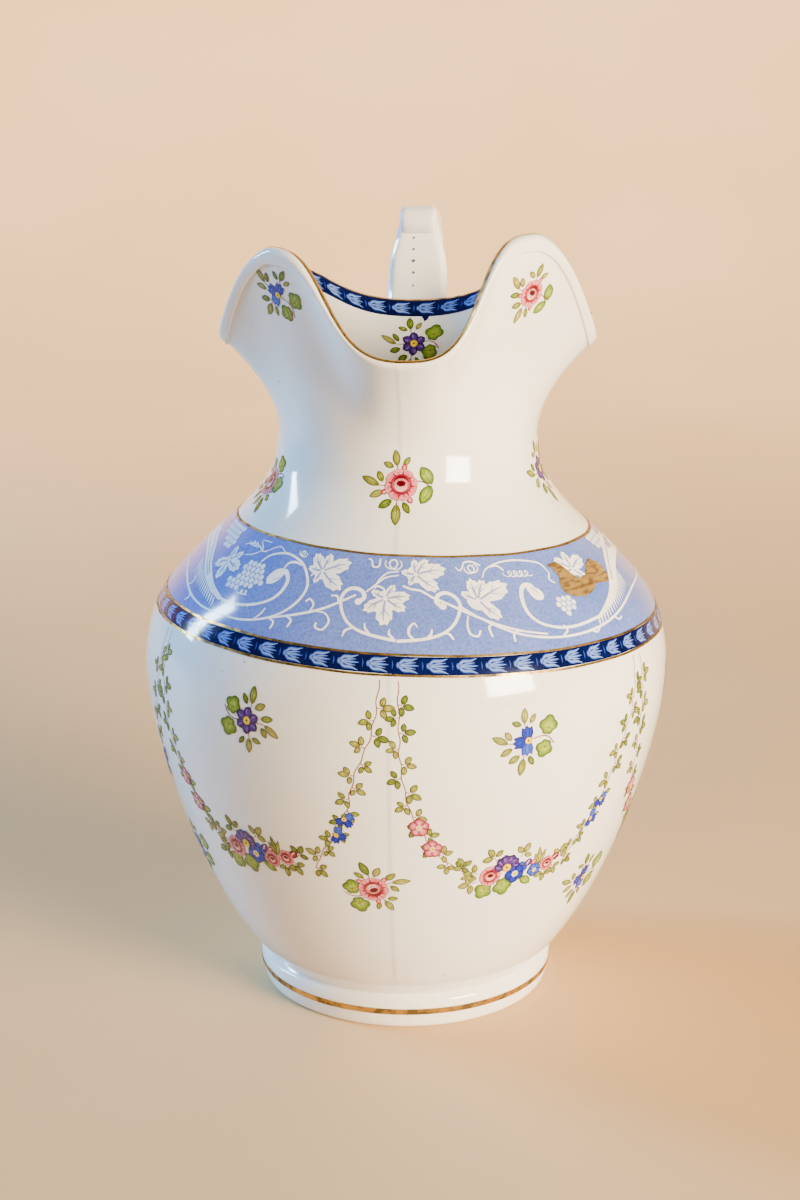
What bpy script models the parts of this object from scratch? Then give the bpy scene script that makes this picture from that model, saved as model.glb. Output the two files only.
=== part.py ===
"""Porcelain jug with a waved lip: two moulded body halves, a turned base and a facetted handle.

Blender 4.5, metres, +Z up. The pouring lip faces -Y and the handle stands at +Y. The body halves meet
on the plane X = 0. The origin is under the middle of the whole jug, handle included, at the level that
it stands on. The outlines are drawn about the body's own axis, which stands a little ahead of it.
"""

import math

import bmesh
import bpy
from mathutils import Vector

MM = 0.001

# Driving dimensions, in millimetres until they are placed.
WALL = 3.0
GAP = 0.3  # between pieces that touch
RIM_ROUNDING = 1.0
AXIS_AHEAD = 9.1  # from the origin forward to the body's axis: half of what the handle reaches past the belly

# The body's outer outline (radius, height), from its seat on the base up to the waist of the neck.
BODY_OUTLINE = (
    (34.3, 8.2),
    (40.5, 16.0),
    (47.3, 28.0),
    (54.4, 45.5),
    (59.9, 65.0),
    (61.8, 79.2),
    (60.9, 89.3),
    (57.0, 98.4),
    (48.3, 108.0),
    (38.1, 117.6),
    (31.9, 126.0),
    (30.0, 134.4),
)
BODY_ROWS = 19
NECK_ROWS = 9
COLUMNS = 60

# The lip's outer edge, from the front round to the back: azimuth, radius, height, lean in degrees from
# upright, and how sharply the wave runs on to the next place.
LIP = (
    (0.0, 45.0, 154.6, 50.0, 2.3),
    (45.0, 41.2, 178.8, 12.0, 1.5),
    (90.0, 43.3, 157.0, 45.0, 1.6),
    (117.0, 41.0, 171.6, 18.0, 2.0),
    (180.0, 43.0, 159.8, 38.0, 2.0),
)
NECK_RISE = 0.40  # how far the neck keeps to the waist, as a share of its height
LIP_RUN = 0.36  # how far the lip keeps to its lean

# The base's outline (radius, height): the inside floor, the seat, the foot ring and the recess under it.
FLOOR_TOP = 8.0
RECESS_HEIGHT = 4.2
FOOT_OUTLINE = (
    (34.6, 7.9),
    (35.3, 7.4),
    (35.7, 6.4),
    (35.75, 4.6),
    (35.4, 2.4),
    (34.95, 0.8),
    (34.5, 0.2),
    (33.9, 0.0),
    (31.7, 0.0),
    (31.1, 0.5),
    (30.4, 2.6),
    (29.2, 3.8),
    (26.0, RECESS_HEIGHT),
)
BASE_STEPS = 60

# The handle's middle line (distance behind the axis, height), then half its width and half its
# thickness there.
HANDLE_LINE = (
    (36.5, 149.5, 7.0, 3.6),
    (42.3, 154.6, 7.4, 3.6),
    (46.6, 161.8, 7.5, 3.4),
    (48.6, 170.0, 7.0, 3.2),
    (50.6, 176.2, 5.4, 3.1),
    (56.0, 179.9, 4.6, 3.0),
    (63.6, 178.8, 4.9, 3.0),
    (71.2, 172.0, 5.4, 3.1),
    (76.0, 160.6, 5.6, 3.2),
    (76.6, 147.2, 5.5, 3.2),
    (72.8, 134.0, 5.3, 3.1),
    (66.0, 122.8, 5.3, 3.1),
    (58.0, 114.4, 5.8, 3.3),
    (50.0, 108.4, 6.8, 3.8),
    (43.0, 104.0, 7.6, 4.2),
)
HANDLE_RINGS = 46
FACET = 0.42  # the handle's cut corners, as a share of its half thickness
THUMB_ROLL_RADIUS = 3.6
THUMB_ROLL_WIDTH = 8.8
THUMB_ROLL_PLACE = (48.6, 180.0)

PORCELAIN = (0.86, 0.82, 0.73, 1.0)
AXIS_NAME = "body_axis"


def clear_scene():
    for obj in list(bpy.data.objects):
        bpy.data.objects.remove(obj, do_unlink=True)


def new_collection(name, helper=False):
    collection = bpy.data.collections.new(name)
    bpy.context.scene.collection.children.link(collection)
    collection.hide_render = helper
    return collection


def glaze(name, tint):
    """Clear-glazed porcelain, a little lighter or darker by tint."""
    material = bpy.data.materials.new(name)
    material.use_nodes = True
    shader = material.node_tree.nodes["Principled BSDF"]
    red, green, blue, alpha = PORCELAIN
    shader.inputs["Base Color"].default_value = (red * tint, green * tint, blue * tint, alpha)
    shader.inputs["Roughness"].default_value = 0.12
    shader.inputs["Metallic"].default_value = 0.0
    shader.inputs["Coat Weight"].default_value = 0.6
    shader.inputs["Coat Roughness"].default_value = 0.05
    return material


def between(points, count):
    """count + 1 rows read evenly from a smooth curve through the points (Catmull-Rom, even steps)."""
    rows = [Vector(point) for point in points]
    rows = [2 * rows[0] - rows[1], *rows, 2 * rows[-1] - rows[-2]]
    spans = len(points) - 1
    found = []
    for step in range(count + 1):
        place = spans * step / count
        index = min(int(place), spans - 1)
        t = place - index
        a, b, c, d = rows[index : index + 4]
        found.append(
            0.5 * (2 * b + (c - a) * t + (2 * a - 5 * b + 4 * c - d) * t**2 + (3 * (b - c) + d - a) * t**3)
        )
    return found


def wave(u, sharpness):
    """From 0 to 1 with a level start and end, and steeper in the middle as sharpness grows."""
    return u**sharpness / (u**sharpness + (1 - u) ** sharpness)


def lip_at(azimuth):
    """The lip's radius, height and lean in radians at an azimuth in degrees, 0 to 180 each way."""
    azimuth = min(abs(azimuth), 180.0)
    for near, far in zip(LIP, LIP[1:]):
        if azimuth <= far[0]:
            share = wave((azimuth - near[0]) / (far[0] - near[0]), near[4])
            radius, height, lean = (n + (f - n) * share for n, f in zip(near[1:4], far[1:4]))
            return radius, height, math.radians(lean)


def neck_outline(azimuth):
    """The neck's outer outline from the waist to the lip, (radius, height) rows after the waist."""
    radius, height, lean = lip_at(azimuth)
    waist = Vector(BODY_OUTLINE[-1])
    edge = Vector((radius, height))
    rise = height - waist.y
    above_waist = waist + Vector((0.0, NECK_RISE * rise))
    below_edge = edge - LIP_RUN * rise * Vector((math.sin(lean), math.cos(lean)))
    rows = []
    for step in range(1, NECK_ROWS + 1):
        t = step / NECK_ROWS
        s = 1 - t
        rows.append(s**3 * waist + 3 * s * s * t * above_waist + 3 * s * t * t * below_edge + t**3 * edge)
    return rows


def wall_surface(outward=0.0, above_lip=0.0):
    """The wall's outer surface in a mesh and its columns of points, moved out and carried on upright."""
    mesh = bmesh.new()
    body_rows = between(BODY_OUTLINE, BODY_ROWS)
    columns = []
    for column in range(COLUMNS):
        azimuth = 360.0 * column / COLUMNS
        outline = body_rows + neck_outline(azimuth if azimuth <= 180.0 else azimuth - 360.0)
        if above_lip:
            outline.append(outline[-1] + Vector((0.0, above_lip)))
        angle = math.radians(azimuth)
        columns.append(
            [
                mesh.verts.new(
                    (
                        (radius + outward) * math.sin(angle) * MM,
                        -(radius + outward) * math.cos(angle) * MM,
                        height * MM,
                    )
                )
                for radius, height in outline
            ]
        )
    for here, after in zip(columns, columns[1:] + columns[:1]):
        for row in range(len(here) - 1):
            mesh.faces.new((here[row], after[row], after[row + 1], here[row + 1]))
    return mesh, columns


def make_axis(collection):
    axis = bpy.data.objects.new(AXIS_NAME, None)
    axis.location = (0.0, -AXIS_AHEAD * MM, 0.0)
    collection.objects.link(axis)


def add_object(name, mesh, collection, material=None):
    """An object drawn about the body's axis, from a mesh that it uses up."""
    data = bpy.data.meshes.new(name)
    mesh.normal_update()
    mesh.to_mesh(data)
    mesh.free()
    obj = bpy.data.objects.new(name, data)
    obj.parent = bpy.data.objects[AXIS_NAME]
    collection.objects.link(obj)
    if material:
        data.materials.append(material)
    return obj


def add_cutter(name, mesh, collection):
    cutter = add_object(name, mesh, collection)
    cutter.hide_render = True
    cutter.display_type = "WIRE"
    return cutter


def add_boolean(obj, name, operation, cutter):
    modifier = obj.modifiers.new(name, "BOOLEAN")
    modifier.operation = operation
    modifier.solver = "EXACT"
    modifier.object = cutter


def smooth(obj, sharp_degrees):
    obj.data.shade_smooth()
    obj.data.set_sharp_from_angle(angle=math.radians(sharp_degrees))


def make_body_half(name, side, collection, cutters, material):
    """One moulded half: the whole wall, thickened inwards and cut off at the seam."""
    mesh, columns = wall_surface()
    rim = [column[-1] for column in columns]
    mesh.verts.index_update()
    rim_indexes = [vert.index for vert in rim]
    half = add_object(name, mesh, collection, material)
    half.vertex_groups.new(name="rim").add(rim_indexes, 1.0, "REPLACE")

    shell = half.modifiers.new("Wall", "SOLIDIFY")
    shell.thickness = WALL * MM
    shell.offset = -1.0

    edge = half.modifiers.new("Rounded rim", "BEVEL")
    edge.limit_method = "VGROUP"
    edge.vertex_group = "rim"
    edge.width = RIM_ROUNDING * MM
    edge.segments = 2

    block = bmesh.new()
    bmesh.ops.create_cube(block, size=1.0)
    size = 0.4
    bmesh.ops.scale(block, vec=(size, size, size), verts=block.verts)
    offset = -side * (size / 2 - GAP / 2 * MM)
    bmesh.ops.translate(block, vec=(offset, 0.0, 0.1), verts=block.verts)
    add_boolean(half, "Seam", "DIFFERENCE", add_cutter(name + "_seam", block, cutters))
    smooth(half, 40)
    return half


def make_base(collection, material):
    """The floor and the foot ring, turned as one piece, with a seat square to the wall's lower end."""
    low, above = (Vector(point) for point in between(BODY_OUTLINE, 10 * BODY_ROWS)[:2])
    along = (above - low).normalized()
    inward = Vector((-along.y, along.x))
    seat_outside = low - GAP * along
    seat_inside = seat_outside + WALL * inward
    outline = [
        (0.0, FLOOR_TOP),
        (26.5, FLOOR_TOP + 0.1),
        (29.8, FLOOR_TOP + 0.7),
        tuple(seat_inside),
        tuple(seat_outside),
        *FOOT_OUTLINE,
        (0.0, RECESS_HEIGHT),
    ]
    mesh = bmesh.new()
    points = [mesh.verts.new((radius * MM, 0.0, height * MM)) for radius, height in outline]
    for here, after in zip(points, points[1:]):
        mesh.edges.new((here, after))
    base = add_object("base", mesh, collection, material)
    turn = base.modifiers.new("Turned", "SCREW")
    turn.axis = "Z"
    turn.angle = math.tau
    turn.steps = BASE_STEPS
    turn.render_steps = BASE_STEPS
    turn.use_merge_vertices = True
    turn.merge_threshold = 0.00005
    turn.use_smooth_shade = True
    return base


def handle_section(place, ahead, half_width, half_thickness):
    """Eight points of the facetted strap at a place on its middle line, square to the way ahead."""
    across = Vector((1.0, 0.0, 0.0))
    out = ahead.cross(across).normalized()
    cut = FACET * half_thickness
    corners = (
        (half_width - cut, half_thickness),
        (half_width, half_thickness - cut),
        (half_width, cut - half_thickness),
        (half_width - cut, -half_thickness),
        (cut - half_width, -half_thickness),
        (-half_width, cut - half_thickness),
        (-half_width, half_thickness - cut),
        (cut - half_width, half_thickness),
    )
    return [(place + across * x + out * y) * MM for x, y in corners]


def make_handle(collection, cutters, material):
    """The strap handle with its thumb roll, cut to fit against the outside of the body."""
    rows = between(HANDLE_LINE, HANDLE_RINGS)
    line = [Vector((0.0, row[0], row[1])) for row in rows]
    mesh = bmesh.new()
    rings = []
    for index, row in enumerate(rows):
        ahead = line[min(index + 1, HANDLE_RINGS)] - line[max(index - 1, 0)]
        section = handle_section(line[index], ahead.normalized(), row[2], row[3])
        rings.append([mesh.verts.new(point) for point in section])
    for here, after in zip(rings, rings[1:]):
        for side in range(8):
            other = (side + 1) % 8
            mesh.faces.new((here[side], here[other], after[other], after[side]))
    mesh.faces.new(rings[0])
    mesh.faces.new(rings[-1][::-1])
    bmesh.ops.recalc_face_normals(mesh, faces=mesh.faces)
    handle = add_object("handle", mesh, collection, material)

    roll = bmesh.new()
    bmesh.ops.create_cone(
        roll,
        cap_ends=True,
        segments=24,
        radius1=THUMB_ROLL_RADIUS * MM,
        radius2=THUMB_ROLL_RADIUS * MM,
        depth=THUMB_ROLL_WIDTH * MM,
    )
    for vert in roll.verts:
        behind, height = THUMB_ROLL_PLACE
        x, y, z = vert.co
        vert.co = (z, y + behind * MM, x + height * MM)
    bmesh.ops.recalc_face_normals(roll, faces=roll.faces)
    add_boolean(handle, "Thumb roll", "UNION", add_cutter("thumb_roll", roll, cutters))

    solid, columns = wall_surface(outward=GAP, above_lip=WALL)
    for row, height in ((0, 0.0), (-1, 150.0)):
        centre = solid.verts.new((0.0, 0.0, height * MM))
        for here, after in zip(columns, columns[1:] + columns[:1]):
            solid.faces.new((here[row], after[row], centre))
    bmesh.ops.recalc_face_normals(solid, faces=solid.faces)
    add_boolean(handle, "Fitted ends", "DIFFERENCE", add_cutter("body_outside", solid, cutters))
    smooth(handle, 25)
    return handle


def main():
    clear_scene()
    jug = new_collection("porcelain_jug")
    cutters = new_collection("cutters", helper=True)
    make_axis(jug)
    make_body_half("body_right_half", 1, jug, cutters, glaze("body_right_glaze", 1.0))
    make_body_half("body_left_half", -1, jug, cutters, glaze("body_left_glaze", 0.99))
    make_base(jug, glaze("base_glaze", 0.98))
    make_handle(jug, cutters, glaze("handle_glaze", 1.0))


main()
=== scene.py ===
"""The looks of the porcelain cream jug: glazed ware, transfer prints, painted flowers and gilding.

Lengths are millimetres from the foot and the jug's axis, until to_world() turns them into
the frame's metres. An azimuth is in degrees round the axis: 0 is the front, where the lip
dips, and it grows towards the right of a viewer in front.
"""

import math

import bpy
import numpy as np
from mathutils import Matrix, Vector


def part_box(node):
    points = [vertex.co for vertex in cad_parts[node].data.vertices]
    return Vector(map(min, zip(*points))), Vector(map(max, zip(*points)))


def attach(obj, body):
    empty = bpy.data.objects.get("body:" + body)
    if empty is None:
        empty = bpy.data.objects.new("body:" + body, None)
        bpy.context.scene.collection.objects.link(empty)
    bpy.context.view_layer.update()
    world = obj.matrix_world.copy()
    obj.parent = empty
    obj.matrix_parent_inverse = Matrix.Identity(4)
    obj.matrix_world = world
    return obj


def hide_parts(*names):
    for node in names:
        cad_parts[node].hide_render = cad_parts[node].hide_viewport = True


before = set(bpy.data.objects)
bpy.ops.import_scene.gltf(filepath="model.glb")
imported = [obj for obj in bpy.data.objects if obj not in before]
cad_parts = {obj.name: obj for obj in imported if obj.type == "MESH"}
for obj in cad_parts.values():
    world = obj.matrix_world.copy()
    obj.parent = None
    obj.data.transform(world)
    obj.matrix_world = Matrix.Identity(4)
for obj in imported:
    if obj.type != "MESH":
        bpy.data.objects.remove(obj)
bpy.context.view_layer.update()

MM = 0.001
foot_low, foot_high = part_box("base")
AXIS = np.array([(foot_low[0] + foot_high[0]) / 2, (foot_low[1] + foot_high[1]) / 2, 0.0])
random = np.random.default_rng(1907)

# ---------------------------------------------------------------- the shape of the wall

WALL = 3.0
WAIST = (30.0, 134.4)
BODY_OUTLINE = (
    (34.3, 8.2), (40.5, 16.0), (47.3, 28.0), (54.4, 45.5), (59.9, 65.0), (61.8, 79.2), (60.9, 89.3),
    (57.0, 98.4), (48.3, 108.0), (38.1, 117.6), (31.9, 126.0), WAIST,
)
# azimuth, radius, height and lean of the lip, and how sharply it turns on the way to the next
LIP = np.array(
    [
        (-180.0, 43.0, 159.8, 38.0, 2.0),
        (-117.0, 41.0, 171.6, 18.0, 1.6),
        (-90.0, 44.1, 157.0, 45.0, 1.5),
        (-45.5, 41.4, 178.4, 12.0, 2.15),
        (0.0, 45.0, 155.6, 50.0, 2.55),
        (44.5, 40.6, 181.4, 11.0, 1.5),
        (90.0, 43.3, 157.0, 45.0, 1.6),
        (117.0, 41.0, 171.6, 18.0, 2.0),
        (180.0, 43.0, 159.8, 38.0, 2.0),
    ]
)
NECK_RISE = 0.40
LIP_RUN = 0.36
MOULDING_WIDTH = 3.4
MOULDING_HEIGHT = 0.45
RIM_ROUND = 1.5
LIP_THINNING = 1.1  # the lip is this much thinner at the front dip
SEAM_AZIMUTH = -1.4
SEAM_HEIGHT = 0.045
SEAM_WIDTH = 0.55
PRINT_TILT = -0.036  # the decoration drops a little to the right
PRINT_RISE = 0.4
FOOT_OUTLINE = (
    (34.0, 8.6), (34.7, 7.9), (35.4, 7.3), (35.75, 6.2), (35.75, 4.4), (35.4, 2.4), (34.95, 0.8),
    (34.4, 0.15), (33.8, 0.0), (31.8, 0.0), (31.2, 0.4), (30.4, 2.6), (29.0, 3.9), (26.0, 4.2),
)


def smooth_path(points, per_span=12):
    """A smooth curve through the points (Catmull-Rom), as rows."""
    points = np.asarray(points, float)
    rows = np.vstack([2 * points[0] - points[1], points, 2 * points[-1] - points[-2]])
    t = np.linspace(0, 1, per_span, endpoint=False)[:, None]
    found = []
    for a, b, c, d in zip(rows, rows[1:], rows[2:], rows[3:]):
        bend = (2 * a - 5 * b + 4 * c - d) * t**2 + (3 * (b - c) + d - a) * t**3
        found.append(0.5 * (2 * b + (c - a) * t + bend))
    return np.vstack([*found, points[-1:]])


def along(path):
    """How far along the path each of its rows lies."""
    return np.concatenate([[0.0], np.cumsum(np.linalg.norm(np.diff(path, axis=0), axis=1))])


PROFILE = smooth_path(BODY_OUTLINE, 60)
PROFILE_ARC = along(PROFILE)


def ease(share):
    """0 below 0, 1 above 1, and a smooth turn between."""
    share = np.clip(share, 0, 1)
    return share * share * (3 - 2 * share)


def lip(azimuth):
    """Radius, height and lean in radians of the lip's edge."""
    azimuth = (np.asarray(azimuth, float) + 180) % 360 - 180
    index = np.clip(np.searchsorted(LIP[:, 0], azimuth, side="right") - 1, 0, len(LIP) - 2)
    start, end = LIP[index], LIP[index + 1]
    share = np.clip((azimuth - start[..., 0]) / (end[..., 0] - start[..., 0]), 0, 1)
    power = start[..., 4]
    share = share**power / (share**power + (1 - share) ** power)
    edge = start + (end - start) * share[..., None]
    return edge[..., 1], edge[..., 2], np.radians(edge[..., 3])


def neck(azimuth, share):
    """Radius and height on the neck's curve, from the waist at 0 to the lip's edge at 1."""
    radius, height, lean = lip(azimuth)
    rise = height - WAIST[1]
    controls = (
        (WAIST[0], WAIST[1]),
        (WAIST[0], WAIST[1] + NECK_RISE * rise),
        (radius - LIP_RUN * rise * np.sin(lean), height - LIP_RUN * rise * np.cos(lean)),
        (radius, height),
    )
    weights = ((1 - share) ** 3, 3 * share * (1 - share) ** 2, 3 * share**2 * (1 - share), share**3)
    found_radius = sum(weight * control[0] for weight, control in zip(weights, controls))
    found_height = sum(weight * control[1] for weight, control in zip(weights, controls))
    return found_radius, found_height


def neck_share(azimuth, height):
    """The shares of the neck's curve just below and just above that height."""
    low, high = np.zeros_like(height), np.ones_like(height)
    for _ in range(24):
        middle = (low + high) / 2
        above = neck(azimuth, middle)[1] > height
        high = np.where(above, middle, high)
        low = np.where(above, low, middle)
    return low, high


def wall_radius(azimuth, height):
    """The outside of the wall at that azimuth and height."""
    azimuth, height = np.broadcast_arrays(np.asarray(azimuth, float), np.asarray(height, float))
    low, high = neck_share(azimuth, height)
    on_neck = neck(azimuth, (low + high) / 2)[0]
    on_body = np.interp(height, PROFILE[:, 1], PROFILE[:, 0])
    return np.where(height > WAIST[1], on_neck, on_body)


def stand(azimuth, radius, height):
    """Points in space, with the slight swell and lean that the ware took in the kiln."""
    angle = np.radians(azimuth)
    swell = 0.10 * np.sin(2 * angle + 0.6) + 0.06 * np.sin(5 * angle - height / 30)
    radius = radius + swell * ease(height / 30)
    across = radius * np.sin(angle) + 0.5 * ease((height - 105) / 45)
    return np.stack([across, -radius * np.cos(angle), np.broadcast_to(height, across.shape)], axis=-1)


def unit(vectors):
    return vectors / np.linalg.norm(vectors, axis=-1, keepdims=True)


def on_outside(azimuth, height, lift):
    """Points that stand lift off the outside of the wall."""
    def surface(turn, rise):
        return stand(azimuth + turn, wall_radius(azimuth + turn, height + rise), height + rise)

    normal = unit(np.cross(surface(0.2, 0) - surface(-0.2, 0), surface(0, 0.1) - surface(0, -0.1)))
    return surface(0, 0) + normal * np.asarray(lift)[..., None]


def below_lip(azimuth, depth):
    """Radius, height and outward direction on the wall's outside, that far below the lip's edge."""
    azimuth, depth = np.broadcast_arrays(np.asarray(azimuth, float), np.asarray(depth, float))
    shape = azimuth.shape
    azimuth, depth = azimuth.ravel(), depth.ravel()
    shares = np.linspace(1, 0, 90)
    radius, height = neck(azimuth[:, None], shares[None, :])
    steps = np.hypot(np.diff(radius, axis=1), np.diff(height, axis=1))
    far = np.concatenate([np.zeros((len(azimuth), 1)), np.cumsum(steps, axis=1)], axis=1)
    index = np.clip((far < depth[:, None]).sum(axis=1), 1, len(shares) - 1)
    row = np.arange(len(azimuth))
    span = far[row, index] - far[row, index - 1]
    part = (depth - far[row, index - 1]) / span
    out = radius[row, index - 1] - radius[row, index]
    up = height[row, index - 1] - height[row, index]
    size = np.hypot(out, up)
    found_radius = radius[row, index - 1] - part * out
    found_height = height[row, index - 1] - part * up
    found = (found_radius, found_height, up / size, -out / size)
    return [values.reshape(shape) for values in found]


def thickness(azimuth, depth):
    """The wall's thickness, which the maker wiped thinner round the front dip."""
    return WALL - LIP_THINNING * ease((6 - depth) / 5) * ease(1 - np.abs(azimuth) / 45)


def on_inside(azimuth, depth, lift):
    """Points that stand lift off the inside of the wall, that far below the lip's edge."""
    azimuth = (np.asarray(azimuth, float) + 180) % 360 - 180
    radius, height, out, up = below_lip(azimuth, depth)
    inwards = -(thickness(azimuth, depth) + np.asarray(lift))
    return stand(azimuth, radius + inwards * out, height + inwards * up)


def to_world(points):
    return np.asarray(points, float) * MM + AXIS


# ---------------------------------------------------------------- meshes


def make_object(name, points, faces, material, colours=None):
    """A smooth-shaded mesh object, with a colour at each point if there are any."""
    mesh = bpy.data.meshes.new(name)
    mesh.from_pydata(to_world(points).tolist(), [], [tuple(map(int, face)) for face in faces])
    mesh.update()
    mesh.shade_smooth()
    if colours is not None:
        layer = mesh.color_attributes.new("paint", "FLOAT_COLOR", "POINT")
        layer.data.foreach_set("color", np.asarray(colours, np.float32).ravel())
    mesh.materials.append(material)
    made = bpy.data.objects.new(name, mesh)
    bpy.context.scene.collection.objects.link(made)
    return made


def ring_faces(rows, columns, start=0):
    """The quads of a grid whose columns close into a ring, facing out where the rows climb."""
    faces = []
    for row in range(rows - 1):
        for column in range(columns):
            after = (column + 1) % columns
            low, high = start + row * columns, start + (row + 1) * columns
            faces.append((low + column, low + after, high + after, high + column))
    return faces


def settle(piece, slot, *nodes):
    """The piece rides the jug and stands for those CAD nodes; the slot is not used."""
    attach(piece, "root")
    if nodes:
        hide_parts(*nodes)


# ---------------------------------------------------------------- materials


def colour(red, green, blue):
    """A colour named by its screen values of 0 to 255, as the linear values that a shader takes."""
    values = np.array([red, green, blue]) / 255
    linear = np.where(values <= 0.04045, values / 12.92, ((values + 0.055) / 1.055) ** 2.4)
    return (*linear, 1.0)


def new_material(name):
    material = bpy.data.materials.new(name)
    material.use_nodes = True
    tree = material.node_tree
    return material, tree, tree.nodes["Principled BSDF"]


def plug(tree, socket, value):
    """Gives the socket another node's output, or a plain value."""
    if isinstance(value, bpy.types.NodeSocket):
        tree.links.new(value, socket)
    else:
        socket.default_value = value


def feed(tree, node, **inputs):
    """Plugs each named input, with _ for the spaces in its name."""
    for name, value in inputs.items():
        plug(tree, node.inputs[name.replace("_", " ")], value)


def add_node(tree, kind, **inputs):
    node = tree.nodes.new("ShaderNode" + kind)
    feed(tree, node, **inputs)
    return node


def own_space(tree):
    return add_node(tree, "TexCoord").outputs["Object"]


def add_noise(tree, scale, detail, where=None):
    """Noise in the object's own space, with features about 1 / scale metres across."""
    where = where or own_space(tree)
    return add_node(tree, "TexNoise", Scale=scale, Detail=detail, Vector=where).outputs["Fac"]


def add_ramp(tree, value, *stops):
    """A colour ramp through (position, colour) stops."""
    ramp = add_node(tree, "ValToRGB", Fac=value)
    for element, (position, shade) in zip(ramp.color_ramp.elements, stops):
        element.position = position
        element.color = shade
    return ramp.outputs["Color"]


def add_mix(tree, first, second, factor, blend="MIX"):
    """Mixes two colours; each of first, second and factor is an output or a plain value."""
    mix = add_node(tree, "Mix")
    mix.data_type = "RGBA"
    mix.blend_type = blend
    for index, value in ((0, factor), (6, first), (7, second)):
        plug(tree, mix.inputs[index], value)
    return mix.outputs[2]


def add_math(tree, operation, first, second):
    node = add_node(tree, "Math")
    node.operation = operation
    plug(tree, node.inputs[0], first)
    plug(tree, node.inputs[1], second)
    return node.outputs[0]


def add_bump(tree, height, distance, shader):
    bump = add_node(tree, "Bump", Strength=1.0, Distance=distance, Height=height)
    feed(tree, shader, Normal=bump.outputs["Normal"])


def own_paint(tree):
    """The colour that the mesh carries at each point."""
    paint = add_node(tree, "Attribute")
    paint.attribute_name = "paint"
    return paint.outputs["Color"]


def add_specks(tree, scale, share):
    """1 in the few small round spots where the body's iron shows through, and 0 elsewhere."""
    cells = add_node(tree, "TexVoronoi", Scale=scale, Vector=own_space(tree))
    near = add_math(tree, "LESS_THAN", cells.outputs["Distance"], 0.055)
    picked = add_node(tree, "SeparateColor", Color=cells.outputs["Color"])
    rare = add_math(tree, "LESS_THAN", picked.outputs["Red"], share)
    return add_math(tree, "MULTIPLY", near, rare)


def under_glaze(tree, shader, tone, roughness):
    """The tone seen through the clear glaze, with its faint ripple."""
    feed(tree, shader, Base_Color=tone, Roughness=roughness, IOR=1.52, Coat_Weight=0.35, Coat_Roughness=0.03)
    add_bump(tree, add_noise(tree, 85, 1), 0.00005, shader)


def glaze(name, pale, deep):
    """Clear glaze over a cream-white body: pooled tone, iron specks, and a faintly rippled gloss."""
    material, tree, shader = new_material(name)
    tone = add_ramp(tree, add_noise(tree, 38, 3), (0.3, deep), (0.7, pale))
    # the mesh's paint carries painted shade: a grey line down the mould seam, standing in for the shading of
    # its ridge
    tone = add_mix(tree, tone, own_paint(tree), 1.0, "MULTIPLY")
    tone = add_mix(tree, tone, colour(150, 130, 105), add_specks(tree, 210, 0.10))
    under_glaze(tree, shader, tone, 0.10)
    return material


def print_material(name, tint, pale, grain):
    """Ink of a transfer print under the glaze: the ground's own colour, mottled where it took thinly."""
    material, tree, shader = new_material(name)
    cloud = add_ramp(tree, add_noise(tree, 55, 4), (0.32, tint), (0.72, pale))
    fine = add_ramp(tree, add_noise(tree, grain, 2), (0.3, colour(206, 212, 232)), (0.62, (1, 1, 1, 1)))
    under_glaze(tree, shader, add_mix(tree, cloud, fine, 1.0, "MULTIPLY"), 0.12)
    return material


def paint_material(name, roughness, streak, thin_tint, depth=1.0):
    """Colour laid on with a brush: each shape's own colour, thinner and thicker within the stroke.
    A depth over 1 fires the colours darker and stronger, and leaves white as it is."""
    material, tree, shader = new_material(name)
    fired = add_node(tree, "Gamma", Gamma=depth, Color=own_paint(tree)).outputs["Color"]
    thin = add_ramp(tree, add_noise(tree, streak, 3), (0.25, thin_tint), (0.6, (1, 1, 1, 1)))
    feed(tree, shader, Base_Color=add_mix(tree, fired, thin, 1.0, "MULTIPLY"), Roughness=roughness, IOR=1.5)
    add_bump(tree, add_noise(tree, streak, 2), 0.00002, shader)
    return material


def grey(level):
    return (level, level, level, 1)


def gold_material(name, bright, worn, streaks=1.0, shine=0.95):
    """Burnished gilding, rubbed thin in places so that a brown ground shows; streaks run level."""
    material, tree, shader = new_material(name)
    squeeze = add_node(tree, "Mapping", Scale=(1.0, 1.0, streaks), Vector=own_space(tree))
    rubbed = add_noise(tree, 330, 4, squeeze.outputs["Vector"])
    tone = add_ramp(tree, rubbed, (0.38, worn), (0.58, bright))
    dull = add_ramp(tree, rubbed, (0.35, grey(0.55)), (0.6, grey(0.26)))
    metal = add_ramp(tree, rubbed, (0.36, grey(0.35)), (0.52, grey(shine)))
    feed(tree, shader, Base_Color=tone, Roughness=dull, Metallic=metal)
    add_bump(tree, add_noise(tree, 900, 2), 0.00002, shader)
    return material


GLAZE = glaze("cream_glaze", colour(241, 237, 230), colour(236, 230, 220))
GROUND_PRINT = print_material("pale_blue_print", colour(98, 121, 199), colour(116, 136, 206), 1700)
NAVY_PRINT = print_material("navy_print", colour(3, 9, 50), colour(7, 17, 74), 900)
WHITE_PRINT = paint_material("white_reserve", 0.12, 420, colour(232, 232, 240))
ENAMEL = paint_material("enamel_colours", 0.24, 1500, colour(206, 204, 202), 1.35)
GOLD = gold_material("worn_gilding", colour(206, 164, 82), colour(96, 70, 30))
RUBBED_GOLD = gold_material("rubbed_gilding", colour(198, 160, 92), colour(112, 82, 40), 5.0, 0.55)

# ---------------------------------------------------------------- the glazed ware


def body_columns():
    """Azimuths of the wall's columns: even all round, and close together across the mould seam."""
    even = np.arange(-180, 180, 1.5)
    close = SEAM_AZIMUTH + np.arange(-1.6, 1.61, 0.2)
    clear = even[np.abs(even - SEAM_AZIMUTH) > 1.9]
    return np.sort(np.concatenate([clear, close]))


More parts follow.
